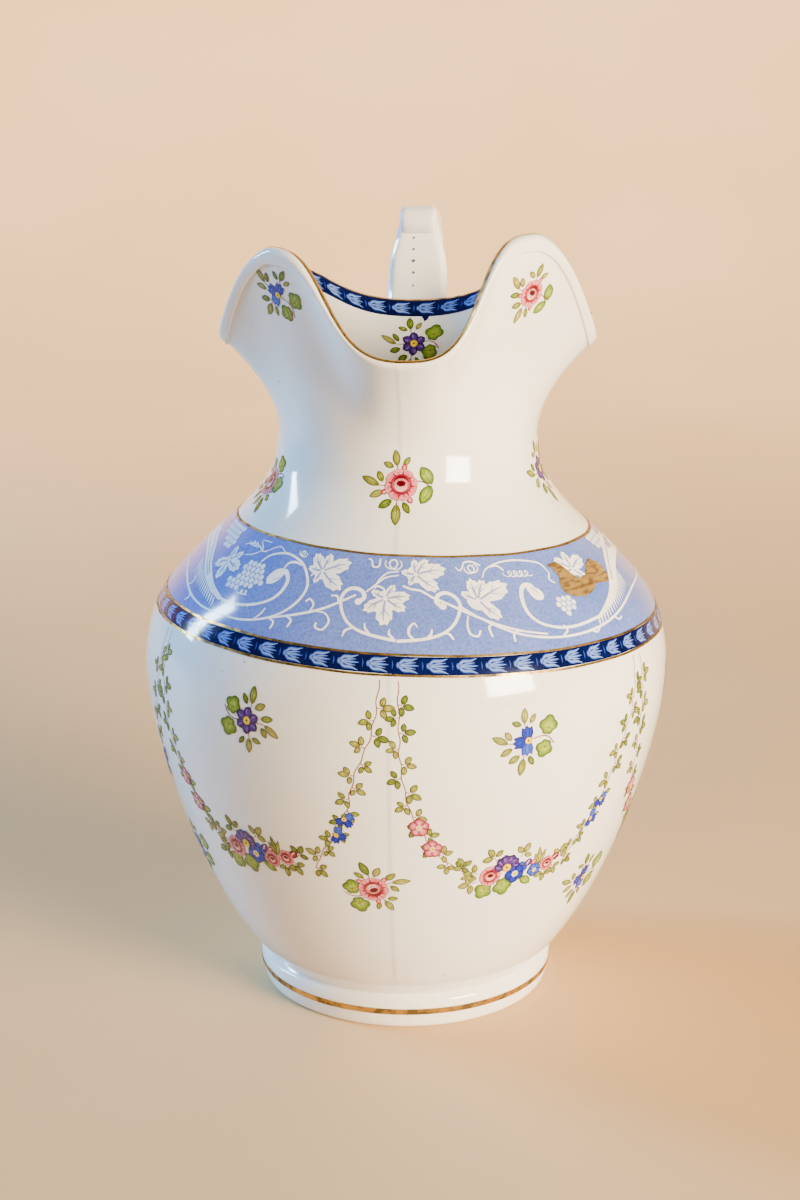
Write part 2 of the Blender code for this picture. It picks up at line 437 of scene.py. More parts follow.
def seam_share(azimuth, radius):
    """1 on the ridge that the mould's joint left down the front, falling to 0 beside it."""
    off = np.radians(azimuth - SEAM_AZIMUTH) * radius
    return np.exp(-((off / SEAM_WIDTH) ** 2))


def moulding(azimuth, depth):
    """How far the band round the lip stands out; it fades away at the front dip."""
    step = ease((MOULDING_WIDTH + 0.2 - depth) / 0.4)
    return MOULDING_HEIGHT * step * ease((np.abs(azimuth) - 8) / 26)


def build_body():
    azimuth = body_columns()
    columns = len(azimuth)
    below = PROFILE[::9]
    rim_depths = np.array([6, 5.2, 4.5, 4.0, 3.75, 3.6, 3.5, 3.4, 3.3, 3.2, 3.0, 2.6, 2.1, RIM_ROUND])
    neck_rows = 44

    radius = [np.full(columns, row[0]) for row in below]
    height = [np.full(columns, row[1]) for row in below]
    out = []
    up = []
    slopes = np.gradient(PROFILE, axis=0)[::9]
    for slope in slopes:
        size = math.hypot(*slope)
        out.append(np.full(columns, slope[1] / size))
        up.append(np.full(columns, -slope[0] / size))
    top_share = neck_share(azimuth, below_lip(azimuth, rim_depths[0])[1])[0]
    for row in range(1, neck_rows):
        share = top_share * row / neck_rows
        here = neck(azimuth, share)
        ahead = neck(azimuth, share + 0.004)
        size = np.hypot(ahead[0] - here[0], ahead[1] - here[1])
        radius.append(here[0])
        height.append(here[1])
        out.append((ahead[1] - here[1]) / size)
        up.append(-(ahead[0] - here[0]) / size)
    for depth in rim_depths:
        found = below_lip(azimuth, 0 * azimuth + depth)
        for rows, values in zip((radius, height, out, up), found):
            rows.append(values)
    radius, height, out, up = (np.array(rows) for rows in (radius, height, out, up))
    first_rim = len(radius) - len(rim_depths)

    raised = SEAM_HEIGHT * seam_share(azimuth, radius) * ease((height - 12) / 6)
    raised[first_rim:] += moulding(azimuth, rim_depths[:, None])
    outer = stand(azimuth, radius + raised * out, height + raised * up)
    wall = np.full(radius.shape, WALL)
    wall[first_rim:] = thickness(azimuth, rim_depths[:, None])
    inner = stand(azimuth, radius - wall * out, height - wall * up)

    edge_radius, edge_height, edge_out, edge_up = radius[-1], height[-1], out[-1], up[-1]
    half = (wall[-1] + raised[-1]) / 2
    middle_radius = edge_radius + (raised[-1] - half) * edge_out
    middle_height = edge_height + (raised[-1] - half) * edge_up
    rim = []
    for angle in np.radians(np.arange(15, 180, 15)):
        side, top = half * math.cos(angle), RIM_ROUND * math.sin(angle)
        rim.append(
            stand(
                azimuth,
                middle_radius + side * edge_out - top * edge_up,
                middle_height + side * edge_up + top * edge_out,
            )
        )
    points = np.concatenate([outer, np.array(rim), inner[::-1]])
    shade = np.ones(points.shape[:2] + (4,))
    # painted shade: the glaze is greyed along the mould seam's low ridge, standing in for the shading that
    # the ridge gets
    grey = 0.17 * seam_share(azimuth, radius) * ease((height - 12) / 6)
    shade[: len(outer), :, :3] -= grey[..., None]
    faces = ring_faces(len(points), columns)
    body = make_object("glazed_body", points.reshape(-1, 3), faces, GLAZE, shade.reshape(-1, 4))
    settle(body, "body_glaze", "body_left_half", "body_right_half")


def lathe(name, outline, material, columns=192):
    """A turned shape from (radius, height) rows that end on the axis."""
    azimuth = np.arange(columns) * 360 / columns
    rows = [row for row in outline if row[0] > 0.01]
    points = [stand(azimuth, np.full(columns, row[0]), np.full(columns, row[1])) for row in rows]
    points = np.concatenate(points)
    faces = [face[::-1] for face in ring_faces(len(rows), columns)]
    for end, turned in ((0, False), (len(rows) - 1, True)):
        centre = len(points)
        level = outline[0][1] if end == 0 else outline[-1][1]
        points = np.vstack([points, [0.0, 0.0, level]])
        for column in range(columns):
            first, second = end * columns + column, end * columns + (column + 1) % columns
            faces.append((centre, second, first) if turned else (centre, first, second))
    colours = np.ones((len(points), 4))
    return make_object(name, points, faces, material, colours)


def build_base():
    floor = smooth_path(((1.0, 8.3), (14.0, 8.3), (25.0, 8.5), (29.5, 9.6), (31.4, 12.0), (32.6, 13.4)), 6)
    joint = np.array([(33.2, 12.6), (33.6, 10.0)])
    foot = smooth_path(FOOT_OUTLINE, 6)
    under = np.array([(20.0, 4.25), (8.0, 4.3), (1.0, 4.3)])
    base = lathe("glazed_base", np.vstack([floor, joint, foot, under]), GLAZE)
    settle(base, "base_glaze", "base")


HANDLE_LINE = (
    (36.5, 149.5, 7.0, 3.6), (42.3, 154.6, 7.4, 3.6), (46.6, 161.8, 7.5, 3.4), (48.6, 170.0, 7.0, 3.2),
    (50.6, 176.2, 5.4, 3.1), (56.0, 179.9, 4.6, 3.0), (63.6, 178.8, 4.9, 3.0), (71.2, 172.0, 5.4, 3.1),
    (76.0, 160.6, 5.6, 3.2), (76.6, 147.2, 5.5, 3.2), (72.8, 134.0, 5.3, 3.1), (66.0, 122.8, 5.3, 3.1),
    (58.0, 114.4, 5.8, 3.3), (50.0, 108.4, 6.8, 3.8), (43.0, 104.0, 7.6, 4.2),
)
HANDLE_TURN = math.radians(1.6)
FACET = 0.42
THUMB_ROLL_PLACE = (48.6, 180.0)


def turned(points):
    """The handle stands a little off the middle of the back."""
    points = np.asarray(points, float)
    c, s = math.cos(HANDLE_TURN), math.sin(HANDLE_TURN)
    x = points[..., 0] * c + points[..., 1] * s
    y = -points[..., 0] * s + points[..., 1] * c
    return np.stack([x, y, points[..., 2]], axis=-1)


def softened(corners):
    """The closed outline with narrow round corners between flat facets."""
    before, after = np.roll(corners, 1, axis=0), np.roll(corners, -1, axis=0)
    rows = [corners + share * (before - corners) for share in (0.24, 0.12)]
    rows.append(0.9 * corners + 0.05 * (before + after))
    rows += [corners + share * (after - corners) for share in (0.12, 0.24)]
    return np.stack(rows, axis=1).reshape(-1, 2)


def handle_outline(half_width, half_thickness):
    cut = FACET * half_thickness
    corners = (
        (half_width, half_thickness - cut),
        (half_width - cut, half_thickness),
        (cut - half_width, half_thickness),
        (-half_width, half_thickness - cut),
        (-half_width, cut - half_thickness),
        (cut - half_width, -half_thickness),
        (half_width - cut, -half_thickness),
        (half_width, cut - half_thickness),
    )
    return softened(np.array(corners))


def build_handle():
    line = smooth_path(HANDLE_LINE, 9)
    keep = line[:, 0] > wall_radius(180.0, np.minimum(line[:, 1], 159.0)) - 1.8
    line = line[keep | (line[:, 1] > 150)]
    ahead = unit(np.gradient(line[:, :2], axis=0))
    rings = []
    for (behind, height, half_width, half_thickness), (run, rise) in zip(line, ahead):
        section = handle_outline(half_width, half_thickness)
        x = section[:, 0]
        y = behind - section[:, 1] * rise
        z = height + section[:, 1] * run
        rings.append(np.stack([x, y, z], axis=-1))
    points = np.array(rings)
    rows, columns = points.shape[:2]
    flat = points.reshape(-1, 3)
    azimuth = np.degrees(np.arctan2(flat[:, 0], -flat[:, 1]))
    far = np.hypot(flat[:, 0], flat[:, 1])
    least = wall_radius(azimuth, np.minimum(flat[:, 2], 159.0)) - 1.6
    inside = (far < least) & (flat[:, 2] < 160.5)
    flat[inside, :2] *= (least[inside] / far[inside])[:, None]
    faces = [tuple(reversed(face)) for face in ring_faces(rows, columns)]
    faces += [tuple(range(columns)), tuple(range((rows - 1) * columns, rows * columns))[::-1]]
    handle = make_object("glazed_handle", turned(flat), faces, GLAZE, np.ones((len(flat), 4)))
    settle(handle, "handle_glaze", "handle")
    roll = build_thumb_roll()
    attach(roll, "root")


# height, width and length of each brush mark on the handle
HANDLE_DABS = (
    (163.0, 0.2, 0.3), (166.5, 0.35, 0.35), (169.5, 0.45, 0.4), (172.2, 0.35, 0.3), (174.6, 0.4, 0.3),
)


def build_handle_dabs():
    """The short row of dark brush marks up the middle of the handle's front facet."""
    line = smooth_path(HANDLE_LINE, 24)
    points, faces = [], []
    for height, width, tall in HANDLE_DABS:
        index = int(np.argmin(np.abs(line[: len(line) // 3, 1] - height)))
        behind, level, _, thick = line[index]
        run, rise = unit(line[index + 1, :2] - line[index - 1, :2])
        start = len(points)
        for x, along_face in disc(0.5, (0, 0), 10) * (2 * width, 2 * tall):
            y = behind - (thick + 0.06) * rise + along_face * run
            z = level + (thick + 0.06) * run + along_face * rise
            points.append((x - 1.1 + random.normal(0, 0.06), y, z))
        faces.append(tuple(range(start, start + 10)))
    ink = [colour(120, 116, 138)] * len(points)
    settle(make_object("handle_dabs", turned(points), faces, ENAMEL, ink), "enamel")


def build_thumb_roll():
    """The round bar across the handle's top, where the thumb rests."""
    half = smooth_path(((4.75, 0.3), (4.7, 1.9), (4.1, 3.05), (3.1, 3.45), (0.0, 3.55)), 5)
    outline = np.vstack([half, (half * (-1, 1))[-2::-1]])
    turns = np.radians(np.arange(0, 360, 15))
    behind, height = THUMB_ROLL_PLACE
    points = []
    for across, radius in outline:
        for turn in turns:
            points.append((across, behind + radius * math.cos(turn), height + radius * math.sin(turn)))
    count = len(turns)
    faces = ring_faces(len(outline), count)
    faces += [tuple(range(count))[::-1], tuple(range((len(outline) - 1) * count, len(outline) * count))]
    return make_object("thumb_roll", turned(points), faces, GLAZE, np.ones((len(points), 4)))


# ---------------------------------------------------------------- painting on the wall


class Painting:
    """Thin shapes laid on the wall and gathered into one mesh. Its place turns a drawing's own
    millimetres, across and up, into (azimuth, height) outside or (azimuth, depth) inside."""

    def __init__(self, place=None, surface=on_outside):
        self.place = place
        self.surface = surface
        self.where = []
        self.lifts = []
        self.colours = []
        self.faces = []
        self.count = 0

    def lay(self, points, shades, lift, faces):
        points = np.asarray(points, float)
        self.where.append(np.stack(self.place(points[:, 0], points[:, 1]), axis=-1))
        self.lifts.append(np.full(len(points), lift))
        self.colours.append(np.asarray(shades, float))
        self.faces.extend(tuple(self.count + index for index in face) for face in faces)
        self.count += len(points)

    def blot(self, outline, inner, outer, lift=0.06, centre=None, rings=2, edge=None, edge_width=0.14):
        """A filled shape, all of whose outline can be seen from its centre."""
        outline = np.asarray(outline, float)
        centre = outline.mean(axis=0) if centre is None else np.asarray(centre, float)
        if edge is not None:
            arms = outline - centre
            wider = centre + arms * (1 + edge_width / np.linalg.norm(arms, axis=1, keepdims=True))
            self.blot(wider, edge, edge, lift - 0.012, centre, rings)
        count = len(outline)
        points = [centre]
        shades = [inner]
        for ring in range(1, rings + 1):
            share = ring / rings
            points.extend(centre + (outline - centre) * share)
            shade = np.asarray(inner) + (np.asarray(outer) - np.asarray(inner)) * share**1.5
            shades.extend([shade] * count)
        faces = []
        for index in range(count):
            after = (index + 1) % count
            faces.append((0, 1 + index, 1 + after))
            for ring in range(1, rings):
                low, high = 1 + (ring - 1) * count, 1 + ring * count
                faces.append((low + index, high + index, high + after, low + after))
        self.lay(points, shades, lift, faces)

    def stroke(self, path, width, shade, lift=0.05, start=1.0, end=1.0, middle=1.0):
        """A brush line; start, middle and end say what share of the width it has there."""
        path = np.asarray(path, float)
        if len(path) < 2:
            return
        ahead = unit(np.gradient(path, axis=0))
        share = along(path) / along(path)[-1]
        half = width / 2 * np.interp(share, (0, 0.5, 1), (start, middle, end))[:, None]
        side = np.stack([-ahead[:, 1], ahead[:, 0]], axis=-1) * half
        points = np.concatenate([path + side, path - side])
        count = len(path)
        faces = [(count + i, count + i + 1, i + 1, i) for i in range(count - 1)]
        self.lay(points, [shade] * (2 * count), lift, faces)

    def finish(self, name, material, slot):
        where = np.concatenate(self.where)
        points = self.surface(where[:, 0], where[:, 1], np.concatenate(self.lifts))
        piece = make_object(name, points, self.faces, material, np.concatenate(self.colours))
        settle(piece, slot)


def tilted(azimuth, height):
    """The same place on the decoration, which drops a little to the right."""
    across = np.interp(height, PROFILE[:, 1], PROFILE[:, 0]) * np.sin(np.radians(azimuth))
    return azimuth, height + PRINT_RISE + PRINT_TILT * across


def on_profile(radius, arc, azimuth=0.0):
    """A place for drawings on the body: across at that radius, up along the profile from arc."""

    def place(x, y):
        height = np.interp(arc + y, PROFILE_ARC, PROFILE[:, 1])
        return tilted(azimuth + np.degrees(x / radius), height)

    return place


def spot(azimuth, height, turn=0.0, size=1.0):
    """A place for one small drawing on the outside, turned by that many degrees."""
    radius = float(wall_radius(azimuth, height))
    near = [wall_radius(azimuth, height + step) for step in (-1, 1)]
    upright = 2 / math.hypot(2, float(near[1] - near[0]))
    c, s = math.cos(math.radians(turn)), math.sin(math.radians(turn))

    def place(x, y):
        right, up = size * (x * c - y * s), size * (x * s + y * c)
        return azimuth + np.degrees(right / radius), height + upright * up

    return place


def inner_spot(azimuth, depth, size=1.0):
    """A place for one small drawing on the inside of the back wall."""
    radius = float(below_lip(azimuth, depth)[0]) - WALL

    def place(x, y):
        return azimuth - np.degrees(size * x / radius), depth - size * y

    return place


def around(degrees):
    """Points on a circle of radius 1."""
    return np.stack([np.cos(np.radians(degrees)), np.sin(np.radians(degrees))], axis=-1)


def moved(points, at, turn=0.0):
    """The points turned by that many degrees, then moved."""
    c, s = math.cos(math.radians(turn)), math.sin(math.radians(turn))
    points = np.asarray(points, float)
    return np.stack([points[:, 0] * c - points[:, 1] * s, points[:, 0] * s + points[:, 1] * c], axis=-1) + at


def disc(radius, at=(0.0, 0.0), count=14):
    angle = np.arange(count) * 2 * np.pi / count
    return np.stack([np.cos(angle), np.sin(angle)], axis=-1) * radius + at


def leaf_outline(length, width, count=8, blunt=0.95):
    """An oval from (0, 0) to (length, 0), widest nearer its far end where blunt is over 1."""
    t = np.linspace(0, 1, count)
    half = width / 2 * np.sin(np.pi * t**blunt) ** 0.7
    lower = np.stack([t * length, -half], axis=-1)
    upper = np.stack([t * length, half], axis=-1)[-2:0:-1]
    return np.concatenate([lower, upper])


# ---------------------------------------------------------------- printed bands

NAVY_LOW, NAVY_HIGH = 91.35, 95.15
GROUND_LOW, GROUND_HIGH = 95.6, 119.1
HUSKS = 59
WHITE = colour(246, 243, 238)
PALE_HUSK = colour(112, 140, 206)
DEEP_HUSK = colour(40, 64, 146)
VEIN = colour(138, 150, 198)
# painted shadow: the darker blue line laid round each white vine leaf, as if the leaf stood in relief
PAINTED_LEAF_SHADOW = colour(98, 112, 178)


def strip(painting, azimuth, levels, lift):
    """A closed strip of the print, from a list of levels (heights outside, depths inside)."""
    where = [np.stack([azimuth, level], axis=-1) for level in levels]
    painting.where.append(np.concatenate(where))
    painting.lifts.append(np.full(len(levels) * len(azimuth), lift))
    painting.colours.append(np.ones((len(levels) * len(azimuth), 4)))
    painting.faces.extend(ring_faces(len(levels), len(azimuth), painting.count))
    painting.count += len(levels) * len(azimuth)


def band_ring(painting, low, high, lift, rows=6, wobble=0.0):
    """A strip all round the body between two arc lengths, its edges wandering a little."""
    azimuth = np.arange(300) * 1.2
    wander = wobble * (np.sin(np.radians(azimuth * 7)) + np.sin(np.radians(azimuth * 17 + 40)))
    levels = []
    for row in range(rows):
        arc = low + (high - low) * row / (rows - 1) + wander
        levels.append(tilted(azimuth, np.interp(arc, PROFILE_ARC, PROFILE[:, 1]))[1])
    strip(painting, azimuth, levels, lift)


def husk(painting, x, height):
    """One husk of the border: slim petals that open from a knop, and the bar before the next."""
    half = height / 2
    for side in (-1, 1):
        petal = smooth_path(
            (
                (x - 1.7, 0.2 * side * half),
                (x - 0.9, 0.62 * side * half),
                (x + 0.5, 0.66 * side * half),
                (x + 2.1, 0.98 * side * half),
            ),
            5,
        )
        painting.stroke(petal, 0.95, DEEP_HUSK, 0.09, 0.7, 0.15, 1.1)
        painting.stroke(petal, 0.42, PALE_HUSK, 0.1, 0.9, 0.2, 1.2)
        rib = ((x - 1.4, 0.1 * side * half), (x, 0.3 * side * half), (x + 1.7, 0.42 * side * half))
        painting.stroke(smooth_path(rib, 4), 0.3, PALE_HUSK, 0.1, 0.6, 0.2)
    painting.stroke([(x - 1.8, 0), (x + 0.2, 0), (x + 2.4, 0)], 0.85, DEEP_HUSK, 0.09, 0.8, 0.1, 1.2)
    painting.stroke([(x - 1.5, 0), (x + 0.3, 0), (x + 2.2, 0)], 0.34, PALE_HUSK, 0.102, 0.8, 0.2)
    knop = disc(0.62, (0, 0), 10) * (0.7, 1.1) + (x - 2.0, 0)
    painting.blot(knop, PALE_HUSK, DEEP_HUSK, 0.1, rings=1)
    bar = [(x + 3.05, -0.55 * half), (x + 3.15, 0), (x + 3.05, 0.55 * half)]
    painting.stroke(bar, 0.34, DEEP_HUSK, 0.09, 0.3, 0.3)


def build_husk_band():
    ground = Painting()
    band_ring(ground, NAVY_LOW, NAVY_HIGH, 0.065, rows=4)
    ground.finish("navy_band", NAVY_PRINT, "husk_print")
    middle = (NAVY_LOW + NAVY_HIGH) / 2
    radius = float(np.interp(middle, PROFILE_ARC, PROFILE[:, 0]))
    pitch = 2 * math.pi * radius / HUSKS
    husks = Painting(on_profile(radius, middle))
    for index in range(HUSKS):
        husk(husks, (index + 0.35) * pitch, 3.2)
    husks.finish("navy_band_husks", WHITE_PRINT, "husk_print")


def build_lip_border():
    """The same border inside the lip, all the way round, with the drop of colour that ran from it."""
    top, bottom = 1.1, 5.8
    azimuth = np.arange(-180, 180, 1.5)[::-1]
    ground = Painting(inner_spot(175.6, bottom), on_inside)
    strip(ground, azimuth, [np.full(len(azimuth), depth) for depth in np.linspace(bottom, top, 6)], 0.05)
    drop = ((-1.0, 0.4), (-0.5, -0.5), (0.0, -1.5), (0.7, -0.9), (1.2, 0.4))
    ground.blot(drop, (1, 1, 1, 1), (1, 1, 1, 1), 0.06)
    ground.finish("lip_border", NAVY_PRINT, "husk_print")

    fine = np.arange(-180, 180.1, 0.5)
    line = on_inside(fine, np.full(len(fine), (top + bottom) / 2), 0.0)
    reach = along(line)
    count = round(reach[-1] / 6.1)

    def place(x, y):
        return np.interp(-x % reach[-1], reach, fine), (top + bottom) / 2 - y

    husks = Painting(place, on_inside)
    for index in range(count):
        husk(husks, (index + 0.5) * reach[-1] / count, 3.2)
    husks.finish("lip_border_husks", WHITE_PRINT, "husk_print")


# ---------------------------------------------------------------- the white vine on the pale blue band


def lobed_outline(lobes, count=120):
    """A vine leaf's toothed outline, from the direction and length of each lobe."""
    angle = np.arange(count) * 360 / count
    radius = np.full(count, 0.30 * max(length for _, length in lobes))
    for direction, length in lobes:
        off = np.abs((angle - direction + 180) % 360 - 180) / (35 if length > 4.5 else 31)
        reach = length * (1 - 0.16 * off - 0.52 * off**2)
        radius = np.maximum(radius, np.where(off < 1, reach, 0))
    teeth = np.tile((1.05, 1.01, 0.97, 0.95), count // 4)
    radius = radius * teeth
    return around(angle) * radius[:, None]


def vine_leaf(vine, at, lobes):
    """A white leaf drawn as if in low relief: a painted shadow line round it, and veins down its lobes."""
    outline = lobed_outline(lobes) + at
    # the edge colour is a painted shadow line round the leaf, darker blue than the ground
    vine.blot(outline, WHITE, WHITE, 0.105, at, 5, PAINTED_LEAF_SHADOW, 0.16)
    for direction, length in lobes:
        bend = 6 if direction > 0 else -6
        tip = moved([(0.5, 0), (0.45 * length, 0.03 * bend), (0.84 * length, 0)], at, direction)
        vine.stroke(smooth_path(tip, 3), 0.46, VEIN, 0.125, end=0.25)
        for side in (-1, 1):
            twig = np.array([(0.42, 0), (0.56, 0.09 * side), (0.66, 0.16 * side)]) * length
            vine.stroke(moved(twig, at, direction), 0.22, VEIN, 0.125, end=0.3)


def stem(vine, points, width=0.75, end=0.6, start=0.8, middle=1.0):
    path = smooth_path(points, 7)
    vine.stroke(path, 0.78 * width, WHITE, 0.095, start, end, middle)


def bulb(vine, at, radius):
    """The thick round end of a small scroll."""
    vine.blot(disc(radius, at), WHITE, WHITE, 0.1, rings=1)


def comma(vine, at, turn, length, width):
    """The heavy drop that a large scroll ends in, with the fold inside it."""
    share = (1 - np.cos(np.linspace(0, np.pi, 14))) / 2
    half = width / 2 * np.sqrt(np.abs(np.sin(np.pi * share**1.6)))
    lower = np.stack([share * length, -half], axis=-1)
    upper = np.stack([share * length, half], axis=-1)[-2:0:-1]
    vine.blot(moved(np.concatenate([lower, upper]), at, turn), WHITE, WHITE, 0.1)
    fold = np.array([(0.2, 0.1), (0.45, 0.22), (0.7, 0.1)]) * (length, width)
    vine.stroke(smooth_path(moved(fold, at, turn), 3), 0.26, VEIN, 0.12, 0.4, 0.3)


def coil(vine, start, end, loops, radius, width=0.36):
    """A tendril that runs from start to end in small loops."""
    share = np.linspace(0, 1, 12 * math.ceil(loops))[:, None]
    angle = 2 * np.pi * loops * share[:, 0] + 2.4
    path = np.asarray(start) + (np.asarray(end) - start) * share
    path = path + np.stack([np.cos(angle), np.sin(angle)], axis=-1) * radius
    vine.stroke(path, width, WHITE, 0.095, 0.6, 0.6)


def grapes(vine, at, rows, size=1.55):
    """A bunch of round grapes in rows, each row given as (first, how many)."""
    for row, (first, many) in enumerate(rows):
        for index in range(many):
            centre = (at[0] + (first + index + 0.5 * (row % 2)) * size, at[1] - row * 0.86 * size)
            vine.blot(disc(0.47 * size, centre, 10), WHITE, colour(222, 226, 240), 0.105, rings=1)


def comb(vine, start, end, many, reach, lean=0.7):
    """A row of slanting strokes under a scroll's edge."""
    for index in range(many):
        share = index / (many - 1)
        x = start[0] + (end[0] - start[0]) * share
        y = start[1] + (end[1] - start[1]) * share
        size = reach * (1 - 0.5 * share)
        far = lean * size
        stem(vine, ((x, y), (x + 0.6 * far, y - 0.5 * size), (x + far, y - size)), 0.62, 0.3)


def middle_scrolls(vine):
    """The pair of volutes at the front and the vine that crosses them."""
    stem(vine, ((-8.4, 11.2), (-7.5, 12.6), (-8.2, 14.0), (-9.9, 14.5), (-11.5, 13.9), (-12.4, 12.2),
        (-12.2, 10.0), (-10.9, 7.2), (-8.9, 5.2), (-5.9, 3.9), (-0.4, 2.8)), 1.0, 0.9, 1.3, 0.8)
    bulb(vine, (-8.6, 11.3), 0.8)
    stem(vine, ((9.2, 11.0), (8.0, 12.3), (8.5, 13.9), (10.3, 14.5), (12.1, 13.5), (12.9, 11.6),
        (12.3, 9.3), (10.8, 6.7), (8.5, 4.7), (4.8, 3.4), (-0.2, 2.7)), 1.0, 0.9, 1.3, 0.8)
    bulb(vine, (9.2, 11.2), 0.8)
    for shoot in (
        ((-6.6, 6.4), (-6.4, 5.2), (-5.4, 4.0)),
        ((-10.6, 2.8), (-10.2, 4.2), (-8.9, 5.0)),
        ((-1.6, 5.4), (-1.7, 4.3), (-0.8, 3.2)),
        ((3.8, 6.0), (3.1, 7.0), (2.2, 5.9), (2.1, 4.4), (3.1, 3.2)),
        ((6.6, 5.8), (6.3, 4.6), (5.6, 3.8)),
        ((8.5, 4.7), (9.7, 4.7), (10.5, 3.4)),
    ):
        stem(vine, shoot, 0.7, 0.8, 0.4)
    stem(vine, ((0.8, 16.0), (2.5, 15.3), (4.8, 14.9), (7.3, 13.3), (9.8, 12.1), (13.5, 10.0), (16.8, 8.1),
        (20.8, 6.1), (24.8, 4.6), (29.7, 3.4)), 0.8)
    stem(vine, ((-7.2, 13.9), (-5.2, 16.0), (-3.2, 17.8), (-0.2, 18.6)), 0.55)
    stem(vine, ((-5.4, 14.9), (-4.8, 16.9), (-2.9, 19.0), (-0.2, 19.5)), 0.55)
    stem(vine, ((-6.9, 14.3), (-5.2, 15.5), (-3.4, 14.9), (-2.9, 13.2)), 0.6)
    stem(vine, ((-9.4, 12.9), (-12.9, 10.5), (-15.9, 8.6), (-19.5, 6.9), (-23.5, 5.4), (-29.6, 3.3)), 0.8)


def side_tendrils(vine):
    for curl in (
        ((-17.4, 7.7), (-15.2, 7.6), (-13.9, 5.9), (-14.7, 3.8), (-16.3, 4.0), (-16.4, 5.2)),
        ((14.1, 8.9), (13.6, 6.6), (13.9, 4.6), (15.3, 4.1), (16.0, 5.4)),
        ((19.3, 6.9), (17.9, 6.1), (18.1, 3.8)),
        ((-8.1, 22.3), (-7.2, 22.0), (-6.6, 20.4), (-5.2, 20.6), (-5.0, 22.6)),
        ((13.6, 21.0), (14.4, 20.1), (15.3, 20.9), (16.0, 22.1), (18.0, 22.3), (20.0, 21.3)),
        ((19.5, 18.0), (20.8, 20.0), (23.5, 21.3), (27.5, 22.0), (32.0, 21.7), (36.4, 20.4), (37.6, 17.6)),
        ((22.0, 20.7), (24.3, 20.9), (25.6, 19.6)),
        ((-19.4, 18.0), (-20.8, 17.3), (-21.3, 16.0)),
        ((-12.8, 10.2), (-13.4, 12.0), (-14.9, 12.0)),
        ((-18.6, 7.3), (-18.2, 9.2), (-19.4, 10.4), (-20.2, 9.6)),
        ((-23.4, 5.4), (-21.9, 4.7), (-22.2, 3.0)),
        ((-27.0, 4.1), (-25.6, 3.5), (-25.8, 1.9)),
        ((-30.6, 3.0), (-29.4, 4.6), (-28.9, 6.2)),
        ((24.0, 4.9), (22.6, 4.2), (22.4, 2.4)),
    ):
        stem(vine, curl, 0.6, 0.9, 0.6)
    coil(vine, (-2.6, 21.4), (-0.6, 21.2), 1.8, 1.25, 0.45)
    coil(vine, (16.6, 20.2), (18.4, 20.6), 1.9, 1.0, 0.45)
    coil(vine, (-27.0, 21.4), (-25.6, 20.9), 1.8, 0.7)
    coil(vine, (25.6, 18.7), (32.2, 18.3), 4.5, 0.72)
    coil(vine, (-46.4, 20.4), (-42.6, 20.2), 2.6, 0.6)
    coil(vine, (-38.6, 8.2), (-35.6, 8.4), 2.4, 0.5)


def flute(vine, horn, short, wide, narrow):
    """A line along a horn of plenty, that far off its middle at the mouth and at the end."""
    rise = np.linspace(wide, narrow, len(horn) - short)
    rib = horn[:-short] + np.stack([0 * rise, rise], axis=-1)
    vine.stroke(rib, 0.34, VEIN, 0.12)


def left_scrolls(vine):
    """The left horn of plenty, whose tail curls round the grapes."""
    stem(vine, ((-37.6, 16.6), (-36.2, 18.6), (-34.3, 19.6), (-31.4, 20.3), (-28.2, 19.9), (-25.0, 18.6),
        (-22.5, 16.1), (-21.2, 13.3), (-21.6, 10.4), (-23.2, 7.5), (-26.0, 4.9), (-30.0, 3.1), (-34.3, 2.2),
        (-39.6, 2.0)), 0.85)
    stem(vine, ((-29.5, 16.6), (-28.9, 18.1), (-27.1, 18.6), (-24.9, 18.2)), 0.9, 0.5, 0.7)
    stem(vine, ((-31.4, 12.0), (-31.8, 14.0), (-30.7, 15.5), (-28.5, 15.8), (-26.9, 14.2), (-26.7, 12.2),
        (-27.4, 10.0), (-28.9, 8.2), (-31.4, 6.7), (-34.3, 5.7), (-38.0, 5.0),
        (-43.0, 5.3)), 1.1, 0.7, 1.6, 0.8)
    comma(vine, (-28.4, 15.3), 213, 4.9, 2.9)
    horn = smooth_path(((-79.0, 17.4), (-72.0, 16.4), (-62.8, 14.2), (-55.7, 10.6), (-48.5, 7.2),
        (-42.5, 5.2)), 9)
    vine.stroke(horn, 5.0, WHITE, 0.1, 1.0, 0.2, 0.6)
    for edge in (-0.3, 0.25):
        flute(vine, horn, 14, 4.4 * edge, 1.2 * edge)
    comb(vine, (-62.0, 11.4), (-44.5, 4.9), 16, 4.2, 0.45)
    comb(vine, (-41.5, 5.2), (-34.0, 5.9), 7, 1.2)
    stem(vine, ((-79.0, 8.4), (-70.0, 7.4), (-62.8, 5.9), (-57.5, 4.3), (-52.1, 2.9), (-45.7, 2.0),
        (-39.6, 2.0)), 0.75)
    stem(vine, ((-57.4, 4.4), (-56.4, 5.8), (-57.6, 6.9)), 0.6)
    stem(vine, ((-54.6, 3.6), (-53.2, 2.4), (-54.2, 1.3)), 0.6)
    stem(vine, ((-48.0, 19.3), (-45.4, 20.3), (-42.0, 20.1), (-39.0, 19.2), (-36.2, 20.9), (-34.4, 21.6),
        (-31.8, 20.4)), 0.45)
    stem(vine, ((-44.8, 16.9), (-42.0, 17.8), (-40.0, 19.6), (-42.4, 21.7), (-38.6, 22.0)), 0.45)
    grapes(vine, (-40.6, 15.6), ((0, 4), (-1, 5), (0, 5), (-1, 6), (-2, 6), (-2, 3)))
    grapes(vine, (-62.0, 22.4), ((-2, 8), (-2, 7), (-1, 7), (1, 5), (3, 3)))


